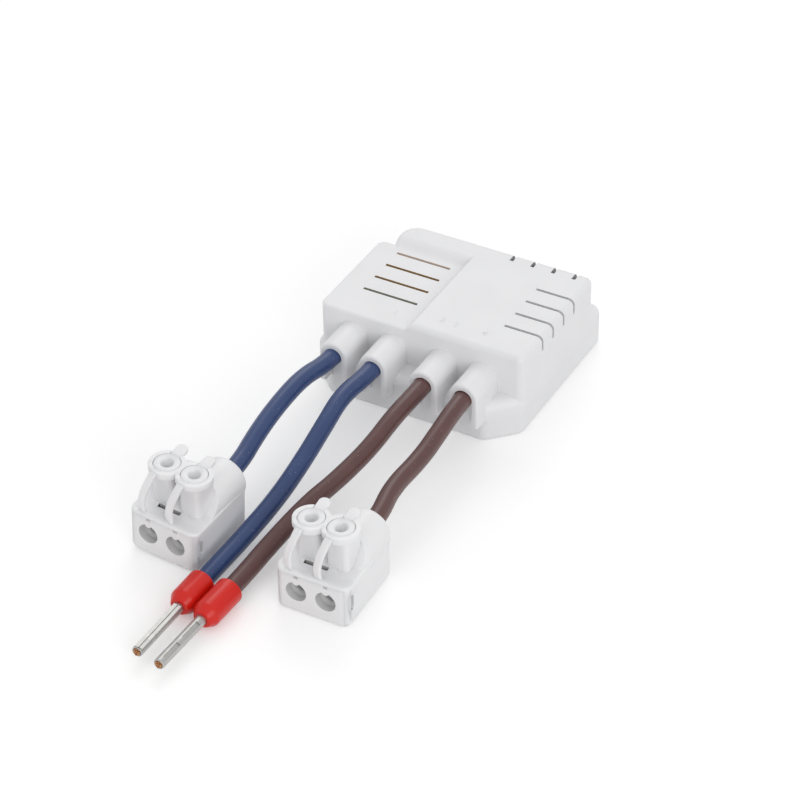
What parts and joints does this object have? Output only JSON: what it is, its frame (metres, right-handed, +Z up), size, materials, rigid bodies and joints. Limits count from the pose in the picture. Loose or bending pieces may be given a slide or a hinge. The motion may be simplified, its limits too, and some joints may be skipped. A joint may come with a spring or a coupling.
{
  "type": "flush switch module",
  "caption": "Compact white flush relay module with stepped vented housing, hooded wire outlets, two-pole push-in terminal blocks and ferruled leads.",
  "frame": {"origin": "centre of the housing's footprint (without leads) on the surface it lies on", "axes": "+Z up from the bottom cover, +Y away from the wire outlets to the rear, +X to the right seen from the outlets"},
  "size_m": [0.0457, 0.1196, 0.0175],
  "materials": {
    "white_shell": "fine satin grain",
    "white_shell_lower": "fine satin grain",
    "block_plastic": "smooth white, slightly translucent",
    "blue_insulation": "semi-matt cable insulation",
    "brown_insulation": "semi-matt cable insulation",
    "red_collar": "smooth, slightly translucent",
    "tinned_tube": "tinned copper, crimped",
    "copper": "bright stranded copper",
    "tinned_brass": "satin",
    "spring_steel": "bright",
    "green_board": "solder mask",
    "relay_case": "moulded",
    "black_bobbin": "moulded",
    "ferrite": "sintered",
    "yellow_tape": "polyester tape",
    "capacitor_sleeve": "shrink sleeve",
    "yellow_case": "moulded box",
    "blue_coating": "dipped epoxy",
    "resistor_coating": "dipped cement",
    "black_chip": "moulded",
    "shield_can": "pressed tinplate",
    "gold_trace": "plated"
  },
  "bodies": {
    "module": {"upper_housing": "white_shell", "bottom_cover": "white_shell_lower", "circuit_board": "green_board", "wire_sockets": "tinned_brass", "relay": "relay_case", "transformer_bobbin": "black_bobbin", "transformer_core": "ferrite", "transformer_winding": "yellow_tape", "storage_capacitor": "capacitor_sleeve", "mains_capacitor": "yellow_case", "varistor": "blue_coating", "fuse_resistor": "resistor_coating", "board_chips": "black_chip", "radio_board": "green_board", "radio_shield": "shield_can", "radio_antenna": "gold_trace", "blue_lead_1": "blue_insulation", "blue_lead_2": "blue_insulation", "brown_lead_3": "brown_insulation", "brown_lead_4": "brown_insulation", "ferrule_collar_left": "red_collar", "ferrule_tube_left": "tinned_tube", "bare_end_left": "copper", "left_block_body": "block_plastic", "left_block_front_plate": "block_plastic", "left_block_lid": "block_plastic", "left_contact_bar": "tinned_brass", "left_push_springs": "spring_steel", "left_cage_clamp": "spring_steel", "left_clamped_core": "copper", "left_strap_1": "block_plastic", "left_strap_2": "block_plastic", "ferrule_collar_right": "red_collar", "ferrule_tube_right": "tinned_tube", "bare_end_right": "copper", "right_block_body": "block_plastic", "right_block_front_plate": "block_plastic", "right_block_lid": "block_plastic", "right_contact_bar": "tinned_brass", "right_push_springs": "spring_steel", "right_cage_clamp": "spring_steel", "right_clamped_core": "copper", "right_strap_1": "block_plastic", "right_strap_2": "block_plastic"},
    "left_button_1": {"left_button_1": "block_plastic"},
    "left_button_2": {"left_button_2": "block_plastic"},
    "right_button_1": {"right_button_1": "block_plastic"},
    "right_button_2": {"right_button_2": "block_plastic"}
  },
  "joints": [
    {"name": "left_button_1_press", "type": "slide", "parent": "module", "child": "left_button_1", "axis": [-0.047, 0.0024, -0.9989], "range_m": [0, 0.0006], "stiffness_N_per_m": 1500, "springref_m": -0.0002},
    {"name": "left_button_2_press", "type": "slide", "parent": "module", "child": "left_button_2", "axis": [-0.047, 0.0024, -0.9989], "range_m": [0, 0.0006], "stiffness_N_per_m": 1500, "springref_m": -0.0002},
    {"name": "right_button_1_press", "type": "slide", "parent": "module", "child": "right_button_1", "axis": [0, 0, -1], "range_m": [0, 0.0006], "stiffness_N_per_m": 1500, "springref_m": -0.0002},
    {"name": "right_button_2_press", "type": "slide", "parent": "module", "child": "right_button_2", "axis": [0, 0, -1], "range_m": [0, 0.0006], "stiffness_N_per_m": 1500, "springref_m": -0.0002}
  ]
}
